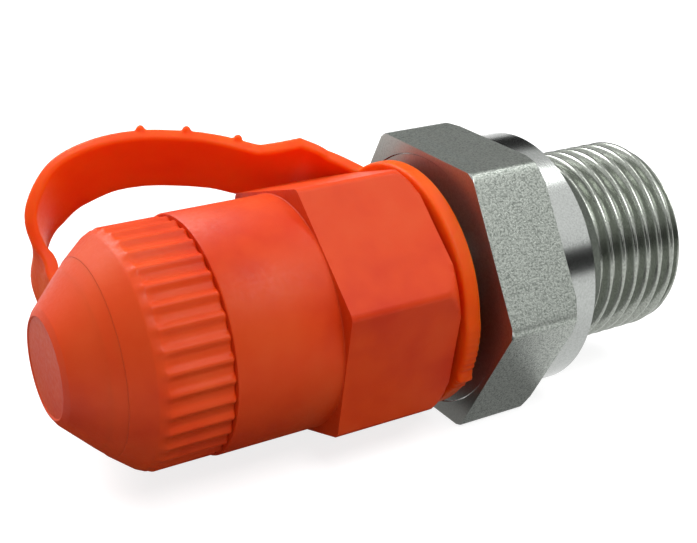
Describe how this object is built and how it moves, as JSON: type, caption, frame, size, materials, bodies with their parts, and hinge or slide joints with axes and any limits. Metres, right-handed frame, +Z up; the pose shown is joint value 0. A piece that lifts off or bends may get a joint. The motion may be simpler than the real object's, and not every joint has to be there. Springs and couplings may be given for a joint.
{
  "type": "hydraulic test point coupling",
  "caption": "Straight self-closing hydraulic test coupling: threaded steel stud, hexagon, and a screw-on plastic dust cap held by a flexible strap.",
  "frame": {"origin": "centre of the collar's sealing face, on the axis", "axes": "+X along the axis towards the free end of the threaded stud; +Z up, with the hexagon's lowest flat on the surface below; the strap's loop is on the +Y side"},
  "size_m": [0.0537, 0.0315, 0.0231],
  "materials": {
    "zinc_plated_steel": "bright zinc plate on drawn and turned steel",
    "turned_steel": "fine turned",
    "spring_steel": "drawn wire",
    "nitrile_rubber": "smooth moulded",
    "cap_plastic": "waxy moulded polyethylene",
    "button_plastic": "waxy moulded polyethylene",
    "strap_plastic": "waxy moulded polyethylene"
  },
  "bodies": {
    "coupling": {"coupling_body": "zinc_plated_steel", "nose_o_ring": "nitrile_rubber", "valve_insert": "turned_steel", "insert_o_ring": "nitrile_rubber", "spring_seat": "turned_steel", "valve_spring": "spring_steel"},
    "valve": {"poppet": "turned_steel", "poppet_o_ring": "nitrile_rubber"},
    "strap": {"cap_strap": "strap_plastic"},
    "button": {"strap_button": "button_plastic"},
    "cap": {"dust_cap": "cap_plastic"}
  },
  "joints": [
    {"name": "strap_swivel", "type": "hinge", "parent": "coupling", "child": "strap", "pos_m": [-0.0118, 0, 0], "axis": [-1, 0, 0], "continuous": true},
    {"name": "cap_travel", "type": "slide", "parent": "strap", "child": "button", "axis": [-1, 0, 0], "range_m": [0, 0.011], "deforming": ["cap_strap"]},
    {"name": "cap_turn", "type": "hinge", "parent": "button", "child": "cap", "pos_m": [-0.0208, 0, 0], "axis": [-1, 0, 0], "range_deg": [0, 1980]},
    {"name": "valve_push", "type": "slide", "parent": "coupling", "child": "valve", "axis": [1, 0, 0], "range_m": [0, 0.0022], "stiffness_N_per_m": 900, "springref_m": -0.003, "deforming": ["valve_spring"]}
  ],
  "couplings": [
    {"joint": "cap_travel", "follows": "cap_turn", "m_per_rad": 0.00031831}
  ]
}
